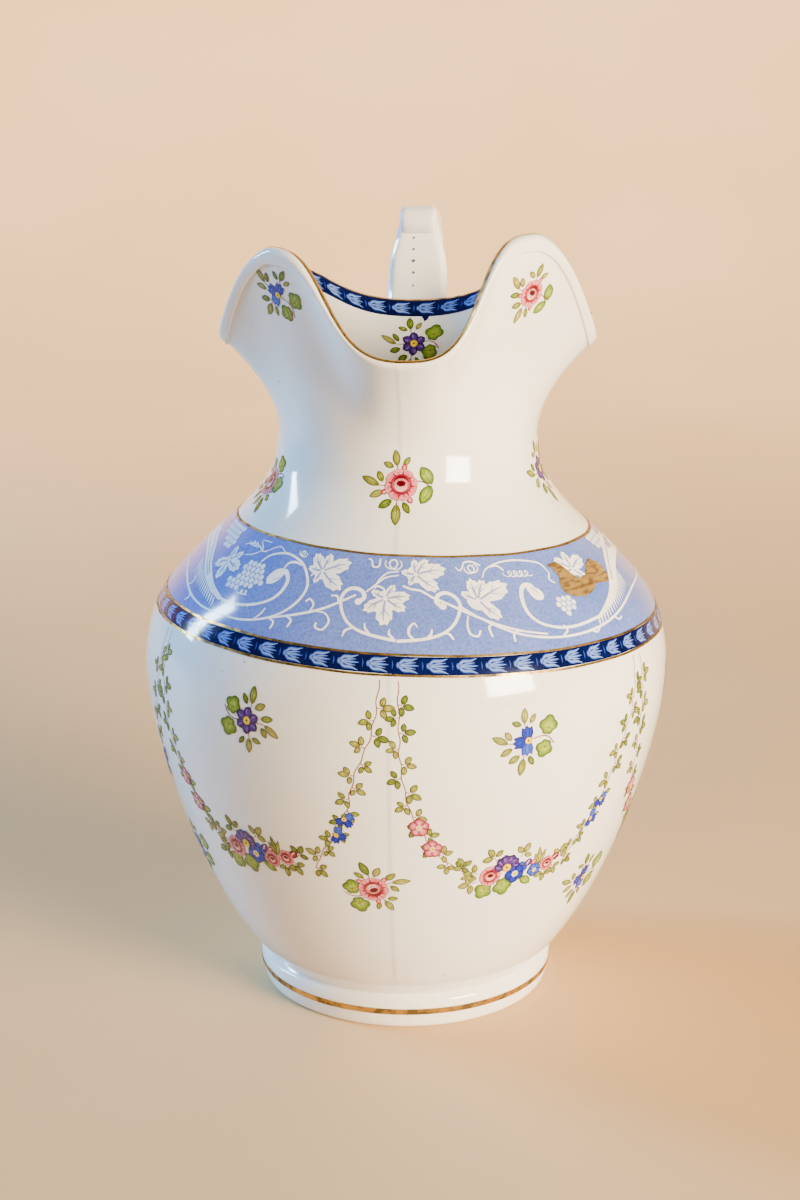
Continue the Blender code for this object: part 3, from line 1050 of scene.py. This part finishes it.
def right_scrolls(vine):
    """The right horn of plenty."""
    stem(vine, ((31.2, 13.2), (30.6, 15.3), (28.6, 15.2), (27.2, 12.6), (27.2, 8.6), (29.8, 5.6),
        (35.6, 4.2), (44.8, 5.2)), 1.0, 0.9, 1.5, 0.8)
    comma(vine, (29.3, 15.2), -48, 4.6, 3.0)
    horn = smooth_path(((79.0, 18.2), (71.0, 17.6), (62.8, 15.2), (53.9, 9.6), (44.5, 5.2)), 9)
    vine.stroke(horn, 6.4, WHITE, 0.1, 1.0, 0.12, 0.5)
    flute(vine, horn, 12, 1.2, 0.4)
    comb(vine, (63.0, 13.4), (44.0, 5.0), 17, 4.2, -0.35)
    stem(vine, ((12.7, 11.3), (18.0, 7.2), (23.9, 4.0), (31.4, 2.4), (39.8, 2.5), (48.1, 4.0), (62.8, 7.9),
        (79.0, 8.4)), 0.75)
    for hook in (((33.0, 2.5), (34.4, 3.6), (34.0, 5.0)), ((40.2, 2.6), (41.6, 1.9), (42.8, 2.6)),
                 ((48.6, 4.1), (49.8, 3.1), (51.2, 3.6)), ((37.6, 17.6), (36.6, 16.2), (37.6, 14.9))):
        stem(vine, hook, 0.6)
    grapes(vine, (36.0, 11.0), ((0, 3), (-1, 4), (0, 3), (0, 1)), 1.4)
    grapes(vine, (63.0, 22.6), ((0, 8), (0, 7), (1, 6), (2, 3)))


# place of each leaf of the vine, then the direction and length of its lobes
VINE_LEAVES = (
    ((-2.9, 12.6), ((-90, 6.5), (-142, 5.4), (-32, 5.0), (10, 5.3), (62, 3.9), (152, 3.6))),
    ((3.8, 19.0), ((13, 7.3), (-39, 6.2), (52, 4.9), (95, 3.9), (172, 3.5), (-120, 3.2))),
    ((17.1, 12.6), ((26, 8.4), (-52, 6.0), (98, 5.4), (66, 5.4), (150, 4.0))),
    ((-18.9, 17.7), ((26, 7.2), (-34, 6.9), (132, 5.4), (81, 4.7), (175, 4.0), (-108, 3.4))),
    ((-48.9, 14.2), ((-10, 5.8), (-86, 5.2), (-156, 5.2), (43, 4.4), (110, 4.2))),
    ((45.6, 17.6), ((20, 6.4), (-50, 4.4), (80, 4.6), (140, 5.0), (-160, 4.4))),
)
VINE_RADIUS = 50.0  # the radius at which the vine's millimetres run true across


def build_vine_band():
    ground = Painting()
    band_ring(ground, GROUND_LOW, GROUND_HIGH, 0.06, rows=30)
    ground.finish("pale_blue_band", GROUND_PRINT, "blue_print")
    vine = Painting()
    for half in (0.0, 180.0):
        vine.place = on_profile(VINE_RADIUS, GROUND_LOW, half)
        middle_scrolls(vine)
        side_tendrils(vine)
        left_scrolls(vine)
        right_scrolls(vine)
        for at, lobes in VINE_LEAVES:
            vine_leaf(vine, at, lobes)
    vine.finish("white_vine", WHITE_PRINT, "blue_print")


# ---------------------------------------------------------------- gilding


def gilt_ring(name, arc, width):
    gilt = Painting()
    band_ring(gilt, arc - width / 2, arc + width / 2, 0.14, rows=3, wobble=0.05)
    gilt.finish(name, GOLD, "gilding")


def build_foot_gilding():
    """The gold line round the foot's thickest part."""
    outline = smooth_path(FOOT_OUTLINE, 12)
    wide = outline[(outline[:, 1] > 3.7) & (outline[:, 1] < 5.3) & (outline[:, 0] > 35)][::-1]
    azimuth = np.arange(240) * 1.5
    points = [stand(azimuth, np.full(240, row[0] + 0.05), np.full(240, row[1])) for row in wide]
    ring = make_object("gilt_foot_line", np.concatenate(points), ring_faces(len(wide), 240), GOLD)
    settle(ring, "gilding")


def build_lip_gilding():
    """The gold line on the inner edge of the lip."""
    azimuth = np.arange(-180, 180, 1.0)
    radius, height, out, up = below_lip(azimuth, 0 * azimuth + RIM_ROUND)
    raised = moulding(azimuth, RIM_ROUND)
    half = (thickness(azimuth, RIM_ROUND) + raised) / 2
    ahead = np.exp(-((azimuth / 40) ** 2))
    rows = []
    for share in np.linspace(1, 0, 8):
        turn = np.radians(4 + share * (68 + 30 * ahead))
        side = raised - half - (half + 0.06) * np.cos(turn)
        top = (RIM_ROUND + 0.06) * np.sin(turn)
        rows.append(stand(azimuth, radius + side * out - top * up, height + side * up + top * out))
    line = make_object("gilt_lip_line", np.concatenate(rows), ring_faces(len(rows), len(azimuth)), GOLD)
    settle(line, "gilding")


def build_gold_patch():
    """The patch of gold over part of the right-hand vine, rubbed at its edges."""
    outline = smooth_path(((38.3, 19.8), (42.0, 19.8), (42.8, 17.0), (45.6, 15.2), (48.9, 15.6), (51.4, 17.5),
                           (54.8, 18.3), (57.5, 15.8), (55.6, 12.0), (51.0, 12.6), (46.4, 10.9), (41.0, 10.9),
                           (38.6, 13.4), (39.8, 16.6), (38.3, 19.8)), 5)[:-1]
    outline = outline + random.normal(0, 0.13, outline.shape)
    patch = Painting(on_profile(VINE_RADIUS, GROUND_LOW))
    patch.blot(outline, (1, 1, 1, 1), (1, 1, 1, 1), 0.16, (46.0, 13.2), rings=6)
    patch.finish("gilt_patch", RUBBED_GOLD, "gilding")


# ---------------------------------------------------------------- painted flowers

OUTLINE = colour(94, 78, 40)
LEAF_PAINTS = (
    (colour(190, 194, 108), colour(118, 128, 50)),
    (colour(206, 202, 130), colour(136, 138, 62)),
    (colour(158, 172, 84), colour(92, 112, 42)),
)
BROAD_PAINT = (colour(190, 204, 96), colour(96, 132, 44))
STEM_PAINT = colour(150, 80, 62)
YELLOW = colour(252, 232, 64)
DEEP_YELLOW = colour(238, 200, 40)
ROSE = (colour(170, 28, 66), colour(216, 98, 122))
CRIMSON = colour(130, 12, 50)
BLUE = (colour(24, 84, 204), colour(4, 38, 150))
DEEP_BLUE = colour(8, 26, 104)
LIGHT_BLUE = (colour(96, 128, 218), colour(52, 84, 190))
PURPLE = (colour(118, 84, 164), colour(72, 42, 122))
DEEP_PURPLE = colour(40, 18, 66)
PINK = (colour(236, 172, 180), colour(176, 50, 92))
BLUSH = colour(244, 196, 194)


def leaf(art, at, turn, length, width, paints=None):
    paints = paints or LEAF_PAINTS[random.integers(3)]
    outline = moved(leaf_outline(length, width), at, turn)
    art.blot(outline, *paints, 0.075, rings=2, edge=OUTLINE, edge_width=0.13)
    vein = moved([(0.1 * length, 0), (0.45 * length, 0.04 * length), (0.75 * length, 0)], at, turn)
    art.stroke(vein, 0.1, OUTLINE, 0.09)


def trio(art, at, turn, size=2.3):
    """Three leaflets on a short stalk, the middle one ahead."""
    root = np.asarray(at, float)
    tip = root + moved([(0.4 * size, 0)], (0, 0), turn)[0]
    art.stroke([root, (root + tip) / 2, tip], 0.17, STEM_PAINT, 0.055)
    paints = LEAF_PAINTS[random.integers(3)]
    for side, share in ((0, 1.0), (74, 0.86), (-74, 0.86)):
        grown = size * share * random.uniform(0.88, 1.12)
        way = turn + side + random.normal(0, 6)
        leaf(art, tip + moved([(0.16 * size, 0)], (0, 0), way)[0], way, grown, 0.56 * grown, paints)


def petals(art, at, turns, reach, width, paints, edge):
    """Round petals, each laid a little over the one before."""
    for index, turn in enumerate(turns):
        outline = moved(leaf_outline(reach, width, 9, 1.5), at, turn + random.normal(0, 3))
        art.blot(outline, *paints, 0.1 + 0.013 * index, edge=edge, edge_width=0.13)


def eye(art, at, radius, lift=0.2):
    art.blot(disc(radius, at), YELLOW, DEEP_YELLOW, lift, rings=1, edge=OUTLINE, edge_width=0.08)
    art.blot(disc(0.3 * radius, at, 8), OUTLINE, OUTLINE, lift + 0.01, rings=1)


def open_flower(art, at, reach, paints, edge, ring, start=90.0):
    """A flower seen full on: five round petals about a yellow eye."""
    petals(art, at, start + np.arange(5) * 72, reach, 0.92 * reach, paints, edge)
    art.blot(disc(0.32 * reach, at), ring, ring, 0.19, rings=1)
    eye(art, at, 0.23 * reach)


def aster(art, at, reach, turns):
    """Purple petals, each with a paler stripe, about a large yellow eye."""
    petals(art, at, turns, reach, 0.64 * reach, PURPLE, DEEP_PURPLE)
    for turn in turns:
        stripe = moved([(0.5 * reach, 0.08 * reach), (0.82 * reach, 0.1 * reach)], at, turn)
        art.stroke(stripe, 0.11 * reach, colour(148, 118, 182), 0.19)
    eye(art, at, 0.3 * reach, 0.21)


def arc_stroke(art, at, radius, start, sweep, width, shade, lift):
    """Part of a circle, drawn with a brush that lands and leaves lightly."""
    turns = np.radians(np.linspace(start, start + sweep, 9))
    path = np.stack([np.cos(turns), np.sin(turns)], axis=-1) * radius + at
    art.stroke(path, width, shade, lift, 0.3, 0.3)


def rose(art, at, reach):
    """A full-blown rose: round pale petals behind a cup with a nearly black heart."""
    middle = np.asarray(at, float)
    edge = colour(158, 40, 62)
    for index, turn in enumerate(np.arange(14, 374, 45)):
        petal = disc(0.4 * reach, (0, 0), 12) * (0.88, 1.12)
        outer = middle + moved(petal + (0.6 * reach, 0), (0, 0), turn + random.normal(0, 4))
        art.blot(outer, ROSE[1], PINK[0], 0.1 + 0.006 * (index % 2), edge=edge, edge_width=0.11)
        fold = middle + moved([(0.62 * reach, 0), (0.86 * reach, 0)], (0, 0), turn + 22)
        art.stroke(fold, 0.12 * reach, ROSE[0], 0.122, end=0.2)
    cup = disc(0.6 * reach, middle, 20)
    art.blot(cup, BLUSH, ROSE[0], 0.135, middle + (0, -0.12 * reach), 3, CRIMSON, 0.1)
    for start, sweep, radius, width in ((20, 140, 0.47, 0.2), (200, 130, 0.5, 0.1)):
        arc_stroke(art, middle, radius * reach, start, sweep, width * reach, CRIMSON, 0.142)
    arc_stroke(art, middle, 0.36 * reach, 190, 150, 0.16 * reach, BLUSH, 0.146)
    heart = disc(0.24 * reach, (0, 0), 12) * (1.15, 0.8) + middle + (0, 0.06 * reach)
    art.blot(heart, colour(84, 6, 26), CRIMSON, 0.15, rings=1)


def bud(art, at, turn, length, paints):
    outline = moved(leaf_outline(length, 0.72 * length, 7, 1.1), at, turn)
    art.blot(outline, *paints, 0.1, edge=paints[1])
    stripe = moved([(0.25 * length, 0.06 * length), (0.8 * length, 0.1 * length)], at, turn)
    art.stroke(stripe, 0.16 * length, BLUSH, 0.115)


def broad_leaf(art, at, turn, size):
    """A wide leaf with three round lobes."""
    angle = np.arange(0, 360, 12)
    radius = np.full(len(angle), 0.34 * size)
    for direction, length in ((0, 0.66), (70, 0.58), (-70, 0.58), (150, 0.42), (-150, 0.42)):
        off = np.abs((angle - direction + 180) % 360 - 180)
        radius = np.maximum(radius, size * length * np.cos(np.radians(np.minimum(off * 1.5, 90))) ** 0.5)
    outline = around(angle) * radius[:, None]
    art.blot(moved(outline, at, turn), *BROAD_PAINT, 0.08, at, rings=3, edge=OUTLINE, edge_width=0.15)
    for direction in (0, 70, -70):
        line = moved([(-0.2 * size, 0), (0.5 * size, 0)], (0, 0), direction)
        art.stroke(moved(line, at, turn), 0.14, OUTLINE, 0.094, end=0.4)


def within(place, at, turn=0.0, size=1.0):
    """A place for a drawing inside another drawing."""

    def inner(x, y):
        points = moved(np.stack([x, y], axis=-1) * size, at, turn)
        return place(points[:, 0], points[:, 1])

    return inner


def sprig(art, place, flower, lobed=True):
    """One scattered sprig: a flower, three sprays of leaves, and a stalk with two broad leaves."""
    art.place = place
    for at, turn, length, width in (
        ((-0.9, 4.0), 93, 2.9, 1.3),
        ((-1.7, 3.7), 158, 1.9, 1.0),
        ((0.5, 4.0), 60, 1.9, 0.9),
        ((-4.6, -0.2), 154, 3.5, 1.3),
        ((-3.9, 0.6), 122, 2.0, 1.1),
        ((-3.6, -1.4), 202, 2.5, 1.2),
        ((-1.8, -3.2), 217, 2.4, 1.3),
        ((-0.8, -4.0), 268, 3.4, 1.5),
        ((0.5, -3.6), 300, 2.1, 1.0),
    ):
        leaf(art, at, turn + random.normal(0, 4), 1.16 * length, 1.1 * width)
    for tip in ((-0.9, 4.0), (-4.4, -0.3), (-0.8, -4.0)):
        art.stroke([(0, 0), (0.5 * tip[0], 0.5 * tip[1]), tip], 0.18, STEM_PAINT, 0.05)
    stalk = smooth_path(((1.2, 0.3), (3.4, 0.7), (5.2, 0.2), (6.6, -1.5)), 4)
    art.stroke(stalk, 0.24, STEM_PAINT, 0.055)
    if lobed:
        broad_leaf(art, (4.9, 2.5), 78, 4.0)
        broad_leaf(art, (4.3, -1.9), -112, 3.7)
    else:
        leaf(art, (6.4, 0.1), 122, 4.2, 2.5, BROAD_PAINT)
        leaf(art, (6.2, -0.3), 238, 4.2, 2.3, BROAD_PAINT)
    flower(art)


def rose_flower(art):
    for turn in (80, 205, 300):
        bud(art, moved([(3.0, 0)], (0, 0), turn)[0], turn, 1.3, PINK)
    rose(art, (0, 0), 3.5)


def blue_flower(art):
    for turn, paints in ((95, BLUE), (185, BLUE), (-90, LIGHT_BLUE)):
        bell = ((0.3, 0.0), (0.7, -0.95), (1.7, -1.35), (3.2, -1.15), (2.8, -0.5), (3.5, 0.0), (2.8, 0.5),
                (3.2, 1.15), (1.7, 1.35), (0.7, 0.95))
        art.blot(moved(bell, (0, 0), turn), *paints, 0.1, edge=DEEP_BLUE, edge_width=0.09)
        for side in (-0.35, 0.35):
            fold = moved([(1.4, side), (2.5, 1.5 * side)], (0, 0), turn)
            art.stroke(fold, 0.13, DEEP_BLUE, 0.112)
    eye(art, (0.1, 0.1), 0.8)


def purple_flower(art):
    aster(art, (0, 0), 3.1, 30 + np.arange(6) * 60)


def build_sprigs():
    art = Painting()
    lower, upper = 38.8, 77.2

    def on_belly(azimuth, arc, turn=0.0):
        height = np.interp(arc, PROFILE_ARC, PROFILE[:, 1])
        return spot(*(float(value) for value in tilted(azimuth, height)), turn)

    for index in range(3):
        sprig(art, on_belly(-31.5 + 120 * index, upper, 172), purple_flower)
        sprig(art, on_belly(26.5 + 120 * index, upper - 0.8), blue_flower)
        sprig(art, on_belly(-5.7 + 120 * index, lower, 205), rose_flower)
        sprig(art, on_belly(54.5 + 120 * index, lower - 4.6), (blue_flower, purple_flower)[index % 2])
    sprig(art, spot(-0.8, 128.0, 0, 1.05), rose_flower, False)
    sprig(art, spot(-71.0, 124.5, 30), rose_flower)
    sprig(art, spot(76.0, 127.5, 8), purple_flower)
    sprig(art, spot(150.0, 128.0), blue_flower)
    sprig(art, spot(-150.0, 128.0), purple_flower)
    sprig(art, spot(-45.4, 168.5, -42, 0.92), blue_flower)
    sprig(art, spot(46.4, 168.9, -20, 0.92), rose_flower, False)
    sprig(art, spot(-112.0, 160.0), rose_flower)
    sprig(art, spot(112.0, 160.0), purple_flower)
    art.finish("painted_sprigs", ENAMEL, "enamel")
    inside = Painting(surface=on_inside)
    sprig(inside, inner_spot(179.6, 13.2, 0.95), purple_flower)
    sprig(inside, inner_spot(100.0, 14.0), rose_flower)
    sprig(inside, inner_spot(-100.0, 14.0), blue_flower)
    inside.finish("painted_sprigs_inside", ENAMEL, "enamel")


# a garland hangs from (0, 0), and its other end is at (61, 0)
GARLAND_DOWN = (
    (0.0, -0.6), (0.3, -10.0), (0.5, -17.5), (1.5, -25.0), (3.0, -31.0), (4.7, -33.9), (6.3, -37.0),
    (7.9, -39.5), (10.3, -42.5), (12.8, -44.5), (15.8, -46.5), (18.8, -48.0),
)
GARLAND_UP = (
    (44.3, -48.0), (46.3, -43.4), (48.8, -40.0), (51.3, -37.0), (52.5, -33.0), (53.8, -30.0),
    (54.8, -25.0), (56.3, -20.0), (57.8, -16.5), (59.2, -12.5), (60.2, -7.5), (60.8, -0.6),
)


def leafy_strand(art, points, bare):
    """A thin stalk with sprays of leaves on alternate sides, past its first bare stretch."""
    path = smooth_path(points, 8)
    path[:, 0] += 0.22 * np.sin(along(path) * 1.1)
    art.stroke(path, 0.17, STEM_PAINT, 0.055)
    reach = along(path)
    side = 1
    far = bare
    while far < reach[-1] - 0.5:
        at = np.array([np.interp(far, reach, path[:, axis]) for axis in (0, 1)])
        ahead = np.array([np.interp(far + 0.5, reach, path[:, axis]) for axis in (0, 1)]) - at
        turn = math.degrees(math.atan2(ahead[1], ahead[0]))
        trio(art, at, turn + side * random.uniform(58, 88), random.uniform(1.95, 2.4))
        side = -side
        far += random.uniform(2.8, 3.7)


def nosegay(art, roses):
    """The bunch of flowers at the lowest part of a garland; some end in roses, and some in buds."""
    for at, turn, size in (
        ((19.6, -47.4), 176, 2.5),
        ((19.4, -49.6), 200, 3.2),
        ((16.2, -46.0), 118, 2.5),
        ((24.0, -44.2), 122, 2.8),
        ((30.3, -44.0), 52, 2.7),
        ((38.6, -48.6), 272, 2.6),
        ((40.8, -47.8), 300, 2.4),
        ((42.2, -46.4), 62, 2.5),
    ):
        trio(art, at, turn, size)
    for turn, length in ((98, 5.2), (74, 4.4), (118, 3.8)):
        leaf(art, (36.3, -47.2), turn, length, 0.24 * length)
    leaf(art, (31.6, -49.9), -32, 3.9, 2.1, BROAD_PAINT)
    broad_leaf(art, (21.9, -52.0), -120, 4.3)
    broad_leaf(art, (26.7, -51.3), -75, 4.6)
    aster(art, (27.0, -46.3), 3.6, (2, 168, 36, 136, 68, 104))
    rose(art, (22.9, -48.3), 2.9)
    bud(art, (32.4, -46.9), 60, 2.3, PURPLE)
    bud(art, (33.8, -46.4), 25, 1.7, PINK)
    petals(art, (30.3, -47.6), (5, 35, 62), 2.6, 1.7, LIGHT_BLUE, DEEP_BLUE)
    open_flower(art, (29.6, -48.4), 2.7, BLUE, DEEP_BLUE, colour(238, 238, 232), 125)
    if roses:
        rose(art, (34.6, -48.6), 2.2)
    else:
        open_flower(art, (35.2, -48.3), 1.9, LIGHT_BLUE, DEEP_BLUE, colour(238, 222, 214), 54)
    rose(art, (38.9, -47.2), 2.1)
    bud(art, (40.2, -46.6), 38, 2.5, (ROSE[0], CRIMSON))


def build_garlands():
    for index in range(6):
        place = on_profile(61.0, 90.6, 0.2 + 60.0 * index - (0.8 if index == 5 else 0))
        art = Painting(place)
        leafy_strand(art, GARLAND_DOWN, 5.0)
        leafy_strand(art, GARLAND_UP[::-1], 6.0)
        art.place = within(place, (-2.6, 0.6)) if index % 2 else place
        nosegay(art, index % 2)
        art.place = place
        for at in ((4.7, -34.2), (7.9, -39.8)):
            open_flower(art, at, 2.35, PINK, CRIMSON, BLUSH, 20)
        for at, turn in (((50.6, -37.6), 160), ((52.8, -33.2), 120)):
            art.place = within(place, at, turn, 0.72)
            blue_flower(art)
        art.finish(f"garland_{index + 1}", ENAMEL, "enamel")


# ---------------------------------------------------------------- the jug, its stage and its camera


def build_stage():
    """A plain pale floor that sweeps up into a backdrop."""
    material, tree, shader = new_material("pale_floor")
    tone = add_ramp(tree, add_noise(tree, 5, 2), (0.3, colour(204, 164, 114)), (0.7, colour(211, 172, 123)))
    feed(tree, shader, Base_Color=tone, Roughness=0.6)
    outline = [(-7.0, 0.0), (0.75, 0.0)]
    for turn in np.radians(np.arange(6, 91, 6)):
        outline.append((0.75 + 0.6 * math.sin(turn), 0.6 - 0.6 * math.cos(turn)))
    outline += [(1.35, 2.6)]
    points = [(side, y, z) for y, z in outline for side in (-6.0, 6.0)]
    faces = [(2 * i, 2 * i + 1, 2 * i + 3, 2 * i + 2) for i in range(len(outline) - 1)]
    mesh = bpy.data.meshes.new("floor")
    mesh.from_pydata(points, [], faces)
    mesh.shade_smooth()
    mesh.materials.append(material)
    floor = bpy.data.objects.new("floor", mesh)
    bpy.context.scene.collection.objects.link(floor)


def add_light(name, place, size, power, tint, glossy=True, target=(0.0, 0.0, 0.1)):
    """A rectangular soft light aimed at the middle of the jug, or at another target."""
    light = bpy.data.lights.new(name, "AREA")
    light.shape = "RECTANGLE"
    light.size, light.size_y = size
    light.energy = power
    light.color = tint
    light.spread = math.radians(100)
    lamp = bpy.data.objects.new(name, light)
    lamp.location = place
    aim = Vector(target) - Vector(place)
    lamp.rotation_euler = aim.to_track_quat("-Z", "Y").to_euler()
    lamp.visible_glossy = glossy
    lamp.visible_camera = False
    bpy.context.scene.collection.objects.link(lamp)


def build_lights():
    """Daylight from a window on the left, warm light from the right, and both seen in the glaze."""
    add_light("cool_side", (-1.4, 0.55, 0.5), (0.7, 0.9), 20, (0.05, 0.40, 1.0), False)
    add_light("warm_side", (1.4, -0.9, 0.45), (0.8, 0.6), 26, (1.0, 0.78, 0.45), False)
    add_light("right_window", (0.83, -0.83, 0.33), (0.42, 0.28), 9, (1.0, 0.91, 0.78))
    add_light("left_window", (-1.05, 0.35, 0.55), (0.12, 0.60), 4.5, (0.55, 0.80, 1.0))
    add_light("backdrop_wash", (0.0, 0.65, 1.7), (1.6, 0.4), 42, (1.0, 0.95, 0.87), False, (0.0, 1.4, 0.6))
    world = bpy.data.worlds.new("studio")
    world.use_nodes = True
    sky = world.node_tree.nodes["Background"]
    sky.inputs["Color"].default_value = (0.96, 0.90, 0.82, 1)
    sky.inputs["Strength"].default_value = 0.055
    bpy.context.scene.world = world


def build_camera():
    """The photograph's view: a little above the lip, from just right of the front."""
    camera = bpy.data.cameras.new("camera")
    camera.sensor_fit = "VERTICAL"
    camera.sensor_height = 36
    camera.lens = 57.36
    camera.clip_start = 0.01
    view = bpy.data.objects.new("camera", camera)
    heading = Matrix.Rotation(math.radians(2.0), 4, "Z")
    pitch = Matrix.Rotation(math.radians(90 - 14.56), 4, "X")
    roll = Matrix.Rotation(math.radians(0.09), 4, "Z")
    place = Matrix.Translation(to_world((13.9, -440.6, 208.4)))
    view.matrix_world = place @ heading @ pitch @ roll
    bpy.context.scene.collection.objects.link(view)
    bpy.context.scene.camera = view


build_camera()
build_stage()
build_lights()
build_body()
build_base()
build_handle()
build_handle_dabs()
build_vine_band()
build_husk_band()
build_lip_border()
gilt_ring("gilt_line_low", 91.05, 0.5)
gilt_ring("gilt_line_high", 95.4, 0.5)
gilt_ring("gilt_neck_line", 119.3, 0.6)
build_foot_gilding()
build_lip_gilding()
build_gold_patch()
build_garlands()
build_sprigs()
